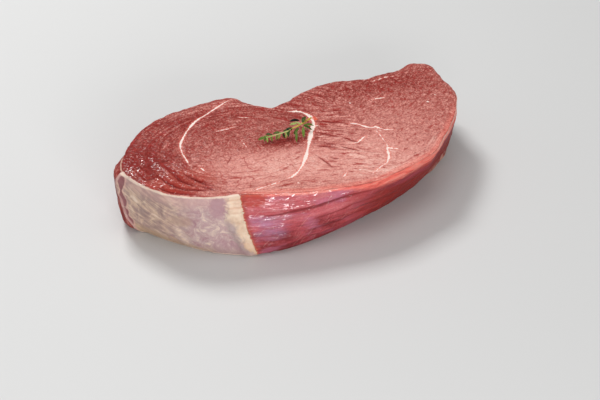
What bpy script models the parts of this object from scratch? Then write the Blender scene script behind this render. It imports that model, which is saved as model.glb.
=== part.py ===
"""Raw beef knuckle: one thick slice with a sprig of thyme on its cut face.

The slice is one solid. Its edge runs through named places, the cut face is a
grid relaxed to that edge, and the wall drops from the edge to a flat underside.
+X runs along the slice towards its pointed end, +Z up, origin under its middle.
"""
import math

import bmesh
import bpy
import numpy as np
from mathutils import Vector, noise

MM = 0.001

# --- Slice: driving sizes in millimetres -----------------------------------
BLUNT_THICKNESS = 40.0
POINT_THICKNESS = 34.5
THIN_FROM = -73.0
THIN_TO = 87.0
THIN_TURN = math.radians(-26.0)

GRID_LONG = 64
GRID_SHORT = 30
WALL_ROWS = 14
ROW_CROWDING = 0.055
RELAX_SWEEPS = 900
OUTLINE_STEPS = 24

EDGE_DROP = 0.6
FOOT_ROUND = 1.8
FOOT_FROM = 0.86
LEAN_POWER = 1.35

# Places round the cut edge, counterclockwise from the blunt end:
# x, y, how far the foot lies inside the edge, how far the wall swells out.
BLUNT_END = (
    (-110.1, 14.5, 0.6, 0.8),
    (-112.7, 4.7, 3.6, 1.8),
)
SILVERSKIN_SIDE = (
    (-108.8, -10.4, 8.5, 1.2),
    (-101.3, -25.1, 10.2, 0.6),
    (-92.1, -34.3, 8.8, 0.4),
    (-78.1, -41.6, 3.2, 0.6),
)
FAT_STRIP_SIDE = (
    (-61.6, -45.4, -3.4, 1.0),
    (-50.7, -49.0, -4.0, 2.0),
)
MUSCLE_SIDE = (
    (-33.9, -53.9, -0.2, 2.8),
    (-16.3, -57.4, 5.8, 2.4),
    (2.0, -60.1, 12.8, 1.4),
    (17.6, -60.5, 17.2, 1.2),
    (33.9, -56.5, 17.4, 1.0),
    (52.4, -50.5, 18.6, 0.9),
    (64.5, -45.5, 19.2, 0.9),
)
POINTED_END = (
    (78.0, -33.1, 15.5, 1.2),
    (87.7, -23.4, 12.2, 0.9),
    (99.4, -9.8, 8.7, 0.8),
    (112.2, 12.5, 5.4, 0.6),
    (114.0, 35.0, 4.0, 0.6),
    (116.0, 50.8, 3.0, 0.6),
    (105.2, 57.5, 3.0, 0.6),
)
FAR_SIDE = (
    (96.3, 53.6, 3.5, 0.9),
    (80.3, 51.2, 4.5, 1.2),
    (64.3, 50.8, 5.0, 1.4),
    (45.1, 54.2, 5.0, 1.4),
    (25.6, 49.7, 4.5, 1.2),
    (5.0, 40.4, 3.0, 0.8),
    (-4.2, 39.4, 2.0, 0.4),
    (-14.2, 49.4, 3.0, 0.8),
    (-20.8, 59.2, 4.0, 1.0),
    (-36.2, 59.9, 5.0, 1.4),
    (-58.7, 57.0, 5.0, 1.6),
    (-80.0, 49.0, 4.0, 1.6),
    (-96.8, 34.1, 2.0, 1.6),
)
EDGE_PLACES = (BLUNT_END + SILVERSKIN_SIDE + FAT_STRIP_SIDE + MUSCLE_SIDE
               + POINTED_END + FAR_SIDE)

# The four places where the grid of the cut face turns its corners.
GRID_CORNERS = ((-102.4, -22.8), (72.1, -39.8), (111.6, 54.2), (-82.4, 46.2))

# Fat seams and creases in the cut face: points along each, depth, half width.
SEAMS = (
    (((-20.9, 57.6), (-43.5, 46.5), (-61.6, 33.1), (-72.1, 17.4), (-75.2, -0.7)), 0.55, 2.2),
    (((6.1, 31.3), (14.2, 21.2), (6.8, 3.1), (-7.5, -19.9), (-27.2, -39.7)), 0.7, 2.6),
    (((32.4, 4.3), (42.0, -6.0), (41.7, -28.0), (31.9, -46.2)), 0.35, 2.0),
)
CREASES = (
    (((-96.4, 5.2), (-91.4, -12.8), (-78.5, -26.6), (-62.4, -33.8)), 0.75, 1.9),
    (((-86.4, 5.2), (-79.4, -12.8), (-64.4, -24.8)), 0.4, 2.0),
    (((15.6, 11.2), (31.6, -3.8)), 0.4, 2.0),
    (((49.6, 29.2), (61.6, 13.2), (67.6, 1.2)), 0.4, 2.2),
)
# Broad swells and hollows of the cut face: x, y, half lengths, height.
SWELLS = (
    (-82.4, 9.2, 24.0, 30.0, 0.5),
    (-36.4, -12.8, 26.0, 24.0, 0.9),
    (35.6, -22.8, 34.0, 22.0, 1.0),
    (79.6, 21.2, 26.0, 26.0, 0.8),
    (-12.4, 4.2, 15.0, 10.0, -1.1),
    (-0.4, 32.2, 9.0, 9.0, -1.3),
    (57.6, 7.2, 12.0, 18.0, -0.7),
)
TOP_UNEVEN = 0.45
TOP_UNEVEN_SIZE = 17.0

# Fat strip down the wall: where it starts and ends along the edge.
STRIP_TOP = (-66.0, -44.0)
STRIP_FOOT = (-56.4, -47.2)
STRIP_HALF = 4.4
STRIP_RAISE = 1.1
STRIP_TURN = 2.0
STRIP_WRINKLE = 0.28
STRIP_WRINKLE_COUNT = 5.5
# Silverskin: shallow pleats that slant down along the wall.
PLEAT_DEPTH = 0.32
PLEAT_SPACING = 13.0
PLEAT_SLANT = 26.0
# Cut muscle: long furrows level with the underside.
FURROWS = ((0.30, 0.55, 0.060), (0.56, 0.75, 0.075), (0.80, 0.55, 0.060))
FURROW_DRIFT = 0.07
FURROW_WAVE = 88.0
WALL_UNEVEN = 0.55
WALL_UNEVEN_SIZE = 15.0
# Lip of meat that stands out below the edge at the blunt end.
LIP_AT = (-110.0, 13.2)
LIP_HALF = 11.0
LIP_SWELL = 4.6
LIP_SHOULDER = 0.10

# --- Thyme: driving sizes in millimetres -----------------------------------
# The stem from its cut end to its tip: x, y, height above the cut face, radius.
STEM_LINE = (
    (12.8, 14.8, 2.1, 0.75),
    (5.5, 10.3, 3.2, 0.70),
    (1.5, 7.4, 4.0, 0.66),
    (-4.2, 4.6, 4.4, 0.62),
    (-8.2, 2.4, 4.2, 0.58),
    (-13.1, 1.7, 3.8, 0.52),
    (-16.9, 2.3, 3.4, 0.48),
    (-19.6, 2.4, 3.0, 0.44),
    (-23.6, 1.7, 2.5, 0.40),
)
STEM_STEPS = 3
STEM_BEVEL_STEPS = 2
# Leaves: share along the stem, heading in degrees, rise to the tip, length.
LEAVES = (
    (0.26, 48.0, 1.6, 6.4),
    (0.24, 136.0, -1.4, 7.2),
    (0.29, -3.0, -2.0, 7.0),
    (0.31, -48.0, -2.2, 5.8),
    (0.28, -112.0, -2.9, 8.6),
    (0.35, 86.0, 0.3, 4.8),
    (0.37, 161.0, 0.4, 4.2),
    (0.39, -147.0, -2.6, 7.2),
    (0.50, 138.0, 0.3, 4.8),
    (0.53, 170.0, -0.6, 6.0),
    (0.46, -117.0, -2.9, 8.6),
    (0.62, -156.0, -2.2, 4.4),
    (0.72, -73.0, -1.6, 3.0),
    (0.74, 148.0, 0.4, 4.8),
    (0.75, -152.0, -1.4, 3.8),
    (0.88, 139.0, 0.4, 4.2),
    (0.90, -120.0, -1.2, 3.2),
    (0.97, 176.0, -0.9, 6.2),
    (0.96, -100.0, -1.0, 2.6),
    (0.98, 118.0, 0.5, 2.8),
)
LEAF_WIDTH_SHARE = 0.25
LEAF_THICK = 0.42
LEAF_CLEAR = 0.75
LEAF_LONG_CELLS = 6
LEAF_WIDE_CELLS = 2
LEAF_FOLD = 0.30
LEAF_CURL = 0.09

MEAT_COLOUR = (0.36, 0.075, 0.07)
MEAT_ROUGHNESS = 0.38
HERB_COLOUR = (0.09, 0.17, 0.03)
HERB_ROUGHNESS = 0.5


def smooth_step(value):
    """Ease from 0 to 1 as the value passes from 0 to 1."""
    t = np.clip(value, 0.0, 1.0)
    return t * t * (3.0 - 2.0 * t)


def spline(places, steps, closed):
    """Smooth curve through all places, every column eased alike."""
    rows = np.array(places, dtype=float)
    count = len(rows)
    t = np.linspace(0.0, 1.0, steps, endpoint=False)[:, None]
    pieces = []
    for index in range(count if closed else count - 1):
        start, end = rows[index], rows[(index + 1) % count]
        before = rows[index - 1] if closed or index else 2 * start - end
        last_span = not closed and index == count - 2
        after = 2 * end - start if last_span else rows[(index + 2) % count]
        reach = np.linalg.norm(end[:2] - start[:2])
        reach_before = np.linalg.norm(start[:2] - before[:2])
        reach_after = np.linalg.norm(after[:2] - end[:2])
        leave = (end - before) * reach / (reach + reach_before)
        arrive = (after - start) * reach / (reach + reach_after)
        pieces.append((2 * t**3 - 3 * t**2 + 1) * start + (t**3 - 2 * t**2 + t) * leave
                      + (3 * t**2 - 2 * t**3) * end + (t**3 - t**2) * arrive)
    pieces.append(rows[:1] if closed else rows[-1:])
    return np.vstack(pieces)


class Edge:
    """The cut edge of the slice as a function of the distance along it."""

    def __init__(self):
        self.loop = spline(EDGE_PLACES, OUTLINE_STEPS, closed=True)
        runs = np.linalg.norm(np.diff(self.loop[:, :2], axis=0), axis=1)
        self.along = np.concatenate([[0.0], np.cumsum(runs)])
        self.length = self.along[-1]

    def at(self, distance):
        """Rows of x, y, foot inset and swell at the given distances."""
        where = np.mod(distance, self.length)
        columns = [np.interp(where, self.along, self.loop[:, k]) for k in range(4)]
        return np.stack(columns, axis=-1)

    def outward(self, distance):
        """Level outward direction at the given distances."""
        ahead = self.at(distance + 1.5)[..., :2]
        behind = self.at(distance - 1.5)[..., :2]
        run = ahead - behind
        run /= np.linalg.norm(run, axis=-1, keepdims=True)
        return np.stack([run[..., 1], -run[..., 0]], axis=-1)

    def nearest(self, place):
        """Distance along the edge of the point closest to the place."""
        gaps = np.linalg.norm(self.loop[:-1, :2] - np.array(place), axis=1)
        return self.along[int(np.argmin(gaps))]


def line_distance(x, y, points):
    """Distance from each (x, y) to a run of straight pieces."""
    best = np.full(np.shape(x), 1e9)
    for start, end in zip(points[:-1], points[1:]):
        run_x, run_y = end[0] - start[0], end[1] - start[1]
        share = ((x - start[0]) * run_x + (y - start[1]) * run_y) / (run_x**2 + run_y**2)
        share = np.clip(share, 0.0, 1.0)
        gap = np.hypot(x - start[0] - share * run_x, y - start[1] - share * run_y)
        best = np.minimum(best, gap)
    return best


def uneven(x, y, size, seed):
    """Smooth noise between about -1 and 1 over the cut face or the wall."""
    flat = [noise.noise(Vector((a / size, b / size, seed)))
            for a, b in zip(np.ravel(x), np.ravel(y))]
    return np.reshape(np.array(flat), np.shape(x))


def plain_height(x, y):
    """Thickness of the slice before any relief."""
    across = x * math.cos(THIN_TURN) + y * math.sin(THIN_TURN)
    share = smooth_step((across - THIN_FROM) / (THIN_TO - THIN_FROM))
    return BLUNT_THICKNESS + (POINT_THICKNESS - BLUNT_THICKNESS) * share


def face_height(x, y):
    """Height of the cut face: swells, seams, creases and unevenness."""
    height = plain_height(x, y)
    for centre_x, centre_y, half_x, half_y, rise in SWELLS:
        spread = ((x - centre_x) / half_x)**2 + ((y - centre_y) / half_y)**2
        height = height + rise * np.exp(-spread)
    for points, depth, half in SEAMS + CREASES:
        height = height - depth * np.exp(-(line_distance(x, y, points) / half)**2)
    return height + TOP_UNEVEN * uneven(x, y, TOP_UNEVEN_SIZE, 0.3)


def wall_relief(edge, distance, down):
    """How far the wall stands out at a distance along the edge and depth share."""
    strip_top = edge.nearest(STRIP_TOP)
    strip_foot = edge.nearest(STRIP_FOOT)
    strip = strip_top + (strip_foot - strip_top) * down**STRIP_TURN
    inside = np.exp(-(np.abs(distance - strip) / STRIP_HALF)**4)
    wrinkle = STRIP_WRINKLE * np.sin(2 * math.pi * STRIP_WRINKLE_COUNT * down)
    fade = smooth_step(down / 0.08) * smooth_step((1.0 - down) / 0.08)
    relief = inside * (STRIP_RAISE * smooth_step(down / 0.05) + wrinkle * fade)

    on_skin = smooth_step((strip - STRIP_HALF - distance) / 6.0)
    on_skin = on_skin * smooth_step((distance - edge.nearest(LIP_AT)) / 8.0)
    slant = (distance - down * PLEAT_SLANT) / PLEAT_SPACING
    pleat = np.sin(2 * math.pi * slant + 1.7 * np.sin(distance / 9.0))
    relief += PLEAT_DEPTH * on_skin * pleat * fade

    on_muscle = np.clip(1.0 - inside - on_skin, 0.0, 1.0)
    drift = FURROW_DRIFT * np.sin(2 * math.pi * distance / FURROW_WAVE)
    for level, depth, half in FURROWS:
        line = np.exp(-((down - level - drift) / half)**2)
        strength = 0.55 + 0.45 * np.sin(distance / 21.0 + 9.0 * level)
        relief -= on_muscle * depth * line * strength

    lip = distance - edge.nearest(LIP_AT)
    lip = np.mod(lip + 0.5 * edge.length, edge.length) - 0.5 * edge.length
    shape = smooth_step(down / LIP_SHOULDER) * (1.0 - down)
    relief += LIP_SWELL * shape * np.exp(-(lip / LIP_HALF)**4)
    turn = 2 * math.pi * distance / edge.length
    ring = edge.length / (2 * math.pi)
    lumps = uneven(ring * np.cos(turn), ring * np.sin(turn) + 37.0 * down,
                   WALL_UNEVEN_SIZE, 4.7)
    return relief + WALL_UNEVEN * lumps * fade


def wall_ring(edge, distance, down, face_edge):
    """One level ring of the wall as rows of x, y, z."""
    base = edge.at(distance)
    lean = (FOOT_ROUND - base[:, 2]) * down**LEAN_POWER
    swell = base[:, 3] * 4.0 * down * (1.0 - down)
    foot = -FOOT_ROUND * max(0.0, (down - FOOT_FROM) / (1.0 - FOOT_FROM))**2
    shift = lean + swell + foot + wall_relief(edge, distance, np.full(len(distance), down))
    level = base[:, :2] + edge.outward(distance) * shift[:, None]
    return np.column_stack([level, face_edge * (1.0 - down)])


def relaxed_grid(edge):
    """Level grid over the cut face whose border follows the edge."""
    starts = [edge.nearest(corner) for corner in GRID_CORNERS]
    counts = (GRID_LONG, GRID_SHORT, GRID_LONG, GRID_SHORT)
    sides = []
    for index, count in enumerate(counts):
        start = starts[index]
        span = (starts[(index + 1) % 4] - start) % edge.length
        sides.append(start + span * np.arange(count + 1) / count)
    border = np.full((GRID_LONG + 1, GRID_SHORT + 1), np.nan)
    border[:, 0] = sides[0]
    border[-1, :] = sides[1]
    border[::-1, -1] = sides[2]
    border[0, ::-1] = sides[3]
    front, right = edge.at(sides[0])[:, :2], edge.at(sides[1])[:, :2]
    back, left = edge.at(sides[2])[::-1, :2], edge.at(sides[3])[::-1, :2]
    u = np.linspace(0.0, 1.0, GRID_LONG + 1)[:, None, None]
    v = np.linspace(0.0, 1.0, GRID_SHORT + 1)[None, :, None]
    corners = ((1 - u) * (1 - v) * front[0] + u * (1 - v) * front[-1]
               + (1 - u) * v * back[0] + u * v * back[-1])
    level = ((1 - v) * front[:, None] + v * back[:, None]
             + (1 - u) * left[None] + u * right[None] - corners)
    for _ in range(RELAX_SWEEPS):
        inner = (level[:-2, 1:-1] + level[2:, 1:-1] + level[1:-1, :-2] + level[1:-1, 2:]) / 4
        level[1:-1, 1:-1] = inner
    return level, border


def build_slice(edge):
    """Slice as one bmesh: cut face, wall rings, flat underside."""
    mesh = bmesh.new()
    bmesh.ops.create_grid(mesh, x_segments=GRID_LONG, y_segments=GRID_SHORT, size=1.0)
    level, border = relaxed_grid(edge)
    height = face_height(level[..., 0], level[..., 1])
    ring, along = [], {}
    for vert in mesh.verts:
        i = round((vert.co.x + 1.0) * 0.5 * GRID_LONG)
        j = round((vert.co.y + 1.0) * 0.5 * GRID_SHORT)
        on_border = not np.isnan(border[i, j])
        drop = EDGE_DROP if on_border else 0.0
        vert.co = Vector((*level[i, j], height[i, j] - drop)) * MM
        if on_border:
            ring.append(vert)
            along[vert] = border[i, j]
    tops = {vert: vert.co.z / MM for vert in ring}
    edges = [item for item in mesh.edges if item.is_boundary]
    for row in range(1, WALL_ROWS + 1):
        share = row / WALL_ROWS
        down = share - ROW_CROWDING * math.sin(2 * math.pi * share)
        made = bmesh.ops.extrude_edge_only(mesh, edges=edges)["geom"]
        edges = [item for item in made
                 if isinstance(item, bmesh.types.BMEdge) and item.is_boundary]
        verts = [item for item in made if isinstance(item, bmesh.types.BMVert)]
        above = {}
        for vert in verts:
            above[vert] = next(item.other_vert(vert) for item in vert.link_edges
                               if item.other_vert(vert) in along)
        where = np.array([along[above[vert]] for vert in verts])
        rims = np.array([tops[above[vert]] for vert in verts])
        points = wall_ring(edge, where, down, rims)
        along = {vert: along[above[vert]] for vert in verts}
        tops = {vert: tops[above[vert]] for vert in verts}
        for vert, point in zip(verts, points):
            vert.co = Vector(point) * MM
    bmesh.ops.contextual_create(mesh, geom=edges)
    bmesh.ops.recalc_face_normals(mesh, faces=mesh.faces)
    return mesh


def build_stem(collection):
    """Woody stem as a mesh object, and its smooth centre line."""
    line = spline(STEM_LINE, STEM_STEPS, closed=False)
    ground = face_height(line[:, 0], line[:, 1])
    centre = np.column_stack([line[:, :2], ground + line[:, 2]])
    curve = bpy.data.curves.new("stem_curve", "CURVE")
    curve.dimensions = "3D"
    curve.bevel_depth = MM
    curve.bevel_resolution = STEM_BEVEL_STEPS
    curve.use_fill_caps = True
    run = curve.splines.new("POLY")
    run.points.add(len(centre) - 1)
    for point, place, radius in zip(run.points, centre, line[:, 3]):
        point.co = (*(place * MM), 1.0)
        point.radius = radius
    guide = bpy.data.objects.new("stem_curve", curve)
    collection.objects.link(guide)
    graph = bpy.context.evaluated_depsgraph_get()
    mesh = bmesh.new()
    tube = bpy.data.meshes.new_from_object(guide.evaluated_get(graph))
    mesh.from_mesh(tube)
    bmesh.ops.remove_doubles(mesh, verts=mesh.verts, dist=0.01 * MM)
    bmesh.ops.recalc_face_normals(mesh, faces=mesh.faces)
    bpy.data.objects.remove(guide)
    bpy.data.meshes.remove(tube)
    return mesh, centre


def build_leaf(root, heading, rise, length):
    """One thin folded leaf, both faces split into triangles alike."""
    mesh = bmesh.new()
    bmesh.ops.create_grid(mesh, x_segments=LEAF_LONG_CELLS, y_segments=LEAF_WIDE_CELLS,
                          size=1.0)
    half = 0.5 * LEAF_WIDTH_SHARE * length
    turn = math.radians(heading)
    flat = math.sqrt(max(length**2 - rise**2, 0.0))
    for vert in mesh.verts:
        along = 0.5 * (vert.co.x + 1.0)
        wide = half * math.sin(math.pi * (0.07 + 0.89 * along))**0.8
        across = vert.co.y * wide
        x = root[0] + along * flat * math.cos(turn) - across * math.sin(turn)
        y = root[1] + along * flat * math.sin(turn) + across * math.cos(turn)
        z = root[2] + along * rise + LEAF_FOLD * abs(across)
        z -= LEAF_CURL * length * along**3
        lowest = float(face_height(np.array([x]), np.array([y]))[0]) + LEAF_CLEAR
        vert.co = Vector((x, y, max(z, lowest))) * MM
    bmesh.ops.triangulate(mesh, faces=mesh.faces)
    bmesh.ops.recalc_face_normals(mesh, faces=mesh.faces)
    bmesh.ops.solidify(mesh, geom=mesh.faces, thickness=LEAF_THICK * MM)
    bmesh.ops.recalc_face_normals(mesh, faces=mesh.faces)
    return mesh


def add_object(name, mesh, collection, material):
    """Turn a bmesh into a named, smooth object in the collection."""
    data = bpy.data.meshes.new(name)
    mesh.to_mesh(data)
    mesh.free()
    data.shade_smooth()
    data.materials.append(material)
    item = bpy.data.objects.new(name, data)
    collection.objects.link(item)
    return item


def build_thyme(collection, joined, material):
    """Stem with its leaves, joined into one solid."""
    stem_mesh, centre = build_stem(collection)
    stem = add_object("thyme_sprig", stem_mesh, collection, material)
    runs = np.linalg.norm(np.diff(centre, axis=0), axis=1)
    along = np.concatenate([[0.0], np.cumsum(runs)]) / runs.sum()
    for number, (share, heading, rise, length) in enumerate(LEAVES):
        root = [np.interp(share, along, centre[:, k]) for k in range(3)]
        leaf = build_leaf(root, heading, rise, length)
        add_object(f"leaf_{number:02d}", leaf, joined, material)
    union = stem.modifiers.new("leaves", "BOOLEAN")
    union.operation = "UNION"
    union.operand_type = "COLLECTION"
    union.collection = joined
    union.solver = "MANIFOLD"
    graph = bpy.context.evaluated_depsgraph_get()
    fused = bpy.data.meshes.new_from_object(stem.evaluated_get(graph))
    stem.modifiers.clear()
    stem.data = fused
    for leaf in list(joined.objects):
        bpy.data.objects.remove(leaf)
    bpy.data.collections.remove(joined)
    return stem


def plain_material(name, colour, roughness):
    """Principled material of one colour."""
    material = bpy.data.materials.new(name)
    material.use_nodes = True
    shader = material.node_tree.nodes["Principled BSDF"]
    shader.inputs["Base Color"].default_value = (*colour, 1.0)
    shader.inputs["Roughness"].default_value = roughness
    return material


def main():
    for item in list(bpy.data.objects):
        bpy.data.objects.remove(item)
    parts = bpy.data.collections.new("beef_knuckle")
    leaves = bpy.data.collections.new("thyme_leaves")
    bpy.context.scene.collection.children.link(parts)
    bpy.context.scene.collection.children.link(leaves)
    meat = plain_material("raw_beef", MEAT_COLOUR, MEAT_ROUGHNESS)
    herb = plain_material("thyme_green", HERB_COLOUR, HERB_ROUGHNESS)
    add_object("knuckle_slice", build_slice(Edge()), parts, meat)
    build_thyme(parts, leaves, herb)


main()
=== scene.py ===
import math
from types import SimpleNamespace

import bmesh
import bpy
import numpy as np
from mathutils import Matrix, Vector, kdtree, noise
from mathutils.bvhtree import BVHTree


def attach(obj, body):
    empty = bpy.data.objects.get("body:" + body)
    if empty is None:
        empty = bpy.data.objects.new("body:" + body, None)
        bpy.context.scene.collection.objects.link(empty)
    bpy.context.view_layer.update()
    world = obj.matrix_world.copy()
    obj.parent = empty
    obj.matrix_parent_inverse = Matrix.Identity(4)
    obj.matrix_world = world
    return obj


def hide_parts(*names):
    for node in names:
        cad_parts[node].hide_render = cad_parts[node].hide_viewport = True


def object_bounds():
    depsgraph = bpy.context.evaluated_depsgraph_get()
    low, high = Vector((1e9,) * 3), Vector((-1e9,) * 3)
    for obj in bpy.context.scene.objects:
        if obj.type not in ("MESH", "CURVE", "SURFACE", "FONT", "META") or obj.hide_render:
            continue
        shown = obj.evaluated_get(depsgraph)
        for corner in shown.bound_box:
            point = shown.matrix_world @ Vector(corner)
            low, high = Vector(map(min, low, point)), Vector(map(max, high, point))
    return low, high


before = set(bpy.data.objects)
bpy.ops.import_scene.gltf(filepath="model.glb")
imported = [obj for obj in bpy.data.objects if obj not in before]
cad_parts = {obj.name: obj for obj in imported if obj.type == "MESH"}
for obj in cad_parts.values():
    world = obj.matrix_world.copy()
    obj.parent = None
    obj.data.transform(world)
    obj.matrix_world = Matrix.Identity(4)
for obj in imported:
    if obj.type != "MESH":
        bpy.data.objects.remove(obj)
cadLow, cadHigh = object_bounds()
mm = 0.001


# small helpers for smooth masks, lines and noise, all in millimetres

def ease(low, high, value):
    t = np.clip((value - low) / (high - low), 0, 1)
    return t * t * (3 - 2 * t)


def curveThrough(points, steps=8):
    rows = np.array(points, dtype=float)
    if len(rows) < 3:
        return rows
    t = np.linspace(0, 1, steps, endpoint=False)[:, None]
    pieces = []
    for index in range(len(rows) - 1):
        start, end = rows[index], rows[index + 1]
        before = rows[index - 1] if index else 2 * start - end
        after = rows[index + 2] if index + 2 < len(rows) else 2 * end - start
        leave, arrive = (end - before) / 2, (after - start) / 2
        pieces.append((2 * t**3 - 3 * t**2 + 1) * start + (t**3 - 2 * t**2 + t) * leave
                      + (3 * t**2 - 2 * t**3) * end + (t**3 - t**2) * arrive)
    pieces.append(rows[-1:])
    return np.vstack(pieces)


def lineDistance(x, y, line):
    # distance to a smoothed line, its side, and the share of the line passed
    points = curveThrough(line)
    best = np.full(x.shape, 1e9)
    side = np.zeros(x.shape)
    share = np.zeros(x.shape)
    runs = np.linalg.norm(np.diff(points, axis=0), axis=1)
    passed = np.concatenate([[0], np.cumsum(runs)]) / runs.sum()
    for index in range(len(points) - 1):
        start, run = points[index], points[index + 1] - points[index]
        t = np.clip(((x - start[0]) * run[0] + (y - start[1]) * run[1]) / (run @ run), 0, 1)
        offX, offY = x - start[0] - t * run[0], y - start[1] - t * run[1]
        gap = np.hypot(offX, offY)
        closer = gap < best
        best = np.where(closer, gap, best)
        side = np.where(closer, np.sign(run[0] * offY - run[1] * offX), side)
        share = np.where(closer, passed[index] + t * (passed[index + 1] - passed[index]), share)
    return best, np.where(side == 0, 1, side), share


def softSpot(first, second, place):
    # hill of height 1 round a place: its two centres and two half lengths
    centreFirst, centreSecond, halfFirst, halfSecond = place
    return np.exp(-((first - centreFirst) / halfFirst)**2
                  - ((second - centreSecond) / halfSecond)**2)


def tapered(share, start):
    # full along a line, thinner at both ends; start is how thin it begins
    return np.sin(math.pi * np.clip(start + (1 - 2 * start) * share, 0, 1))**0.6


def roughness(name, *place):
    # smooth noise, about -1 to 1, one value a point
    size, seed, octaves = sliceNoise[name]
    shift = Vector((seed * 17.3, seed * 5.1, seed * 9.7))
    spots = (place[0] if len(place) == 1 else np.column_stack(place)) / np.array(size)
    if octaves == 1:
        return np.array([noise.noise(Vector(p) + shift) for p in spots])
    return np.array([noise.fractal(Vector(p) + shift, 1, 2, octaves) for p in spots])


def newObject(name, data):
    item = bpy.data.objects.new(name, data)
    bpy.context.scene.collection.objects.link(item)
    return item


# materials are built from short calls, each of which adds one or a few nodes

bench = SimpleNamespace()  # the material in the making, and what its functions share


def startMaterial(name, colours=None):
    # gives the place on the piece, in millimetres
    bench.colours = colours
    bench.material = bpy.data.materials.new(name)
    bench.material.use_nodes = True
    bench.tree = bench.material.node_tree
    bench.p = stretched(add("TexCoord").outputs["Object"], 1 / mm, 1 / mm, 1 / mm)
    return bench.p


def finishMaterial(**values):
    shader = bench.tree.nodes["Principled BSDF"]
    for name, value in values.items():
        put(value, shader.inputs[name.replace("_", " ")])
    return bench.material


def put(value, socket):
    if isinstance(value, bpy.types.NodeSocket):
        bench.tree.links.new(value, socket)
    else:
        socket.default_value = value


def add(kind, inputs=None, **settings):
    made = bench.tree.nodes.new("ShaderNode" + kind)
    for key, value in settings.items():
        setattr(made, key, value)
    for key, value in (inputs or {}).items():
        put(value, made.inputs[key])
    return made


def calc(operation, first, second=0, third=None, clamp=False):
    made = add("Math", {0: first, 1: second}, operation=operation, use_clamp=clamp)
    if third is not None:
        put(third, made.inputs[2])
    return made.outputs[0]


def times(first, second):
    return calc("MULTIPLY", first, second)


def plus(first, second):
    return calc("ADD", first, second)


def minus(first, second):
    return calc("SUBTRACT", first, second)


def scaled(value, amount, base):
    return calc("MULTIPLY_ADD", value, amount, base)


def around(value, amount, base):
    # noise about its middle, scaled and added to a base
    return scaled(minus(value, 0.5), amount, base)


def band(value, low, high, toLow=0, toHigh=1):
    return add("MapRange", {"Value": value, "From Min": low, "From Max": high,
                                      "To Min": toLow, "To Max": toHigh},
               interpolation_type="SMOOTHSTEP").outputs[0]


def blend(share, first, second):
    return add("Mix", {0: share, 2: first, 3: second}).outputs[0]


def mix(share, first, second):
    made = add("Mix", {0: share}, data_type="RGBA")
    for value, socket in ((first, 6), (second, 7)):
        isSocket = isinstance(value, bpy.types.NodeSocket)
        put(value if isSocket else (*value, 1), made.inputs[socket])
    return made.outputs[2]


def ramp(value, *stops):
    made = add("ValToRGB", {"Fac": value})
    bar = made.color_ramp.elements
    for index, (place, name) in enumerate(stops):
        stop = bar[index] if index < 2 else bar.new(place)
        stop.position = place
        stop.color = (*bench.colours[name], 1)
    return made.outputs[0]


def painted(name):
    return add("Attribute", attribute_name=name).outputs["Fac"]


def plane(first, second):
    return add("CombineXYZ", {"X": first, "Y": second, "Z": 0}).outputs[0]


def stretched(vector, x, y, z):
    return add("Mapping", {"Vector": vector, "Scale": (x, y, z)}).outputs[0]


def cloud(vector, scale, detail=3, rough=0.55, twist=0):
    return add("TexNoise", {"Vector": vector, "Scale": scale, "Detail": detail,
                                      "Roughness": rough, "Distortion": twist}).outputs["Fac"]


def bump(height, distance, strength=1):
    return add("Bump", {"Height": height, "Distance": distance,
                                  "Strength": strength}).outputs[0]


# the slice: its form, all in millimetres

# fat seams of the cut face: points, then the width of the seam
fatSeams = {
    "leftLobe": ([(-20.9, 57.6), (-42.9, 46.2), (-52.3, 40.4), (-60.7, 32.8), (-67.6, 24.4),
        (-71.9, 17.2), (-74.1, 8.4), (-75.3, -2.5)], 1.15),
    "middle": ([(6.1, 31.3), (10.5, 28.5), (13.6, 23.8), (14.6, 18.2), (12.5, 11.8), (6.8, 3.1),
        (-0.1, -8.1), (-7.5, -19.9), (-14.4, -29.3), (-20.5, -35.3), (-27.2, -39.7)], 1.8),
    "middleBend": ([(7.2, 30.6), (10.9, 28.3), (13.7, 24), (14.5, 18.4), (13.1, 12.4), (8.3, 4.4),
        (1, -7.4)], 2.15),
    "middleTail": ([(-24, -38), (-33.9, -41.8), (-42.1, -43.2), (-51.5, -44.6), (-61.3, -45.7)],
        0.55),
    "rightLobe": ([(32.2, 3.9), (36.9, -0.1), (41.9, -6.3), (45.5, -7.1), (48.5, -11.8),
        (53, -14.1)], 1.3),
    "branchFaint": ([(43.4, -9.7), (42.9, -17.2), (41.7, -28)], 0.55),
    "branchUp": ([(41.8, -27.6), (41.2, -31.6), (46, -36.3)], 0.9),
    "branchDown": ([(40.7, -30.1), (38.5, -35), (36.5, -40.1), (31.9, -46.2)], 1.3),
    "branchTail": ([(31.9, -46.2), (25.5, -49.5), (18, -53.7)], 0.6),
    "dashRight": ([(34.3, -14.8), (27, -19), (23.4, -20.2)], 1),
    "dashFront": ([(4.9, -47.1), (1, -50.6)], 0.8),
    "streakFar": ([(59.5, 24.4), (64, 23.6), (68.7, 23.5)], 0.8),
    "streakLeft": ([(-45.2, 24.1), (-40, 24.4), (-33.2, 24.8)], 0.9),
    "streakTop": ([(-27.1, 34.6), (-20.4, 31.3)], 0.6),
    "streakFront": ([(-71.1, -10.9), (-70.1, -14.8)], 0.9),
    "streakEdge": ([(69.5, 44.4), (79.7, 46), (87.4, 45.7)], 0.6),
    "streakMiddle": ([(-36.3, 9.4), (-37.6, -3.2)], 0.5),
}
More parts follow.
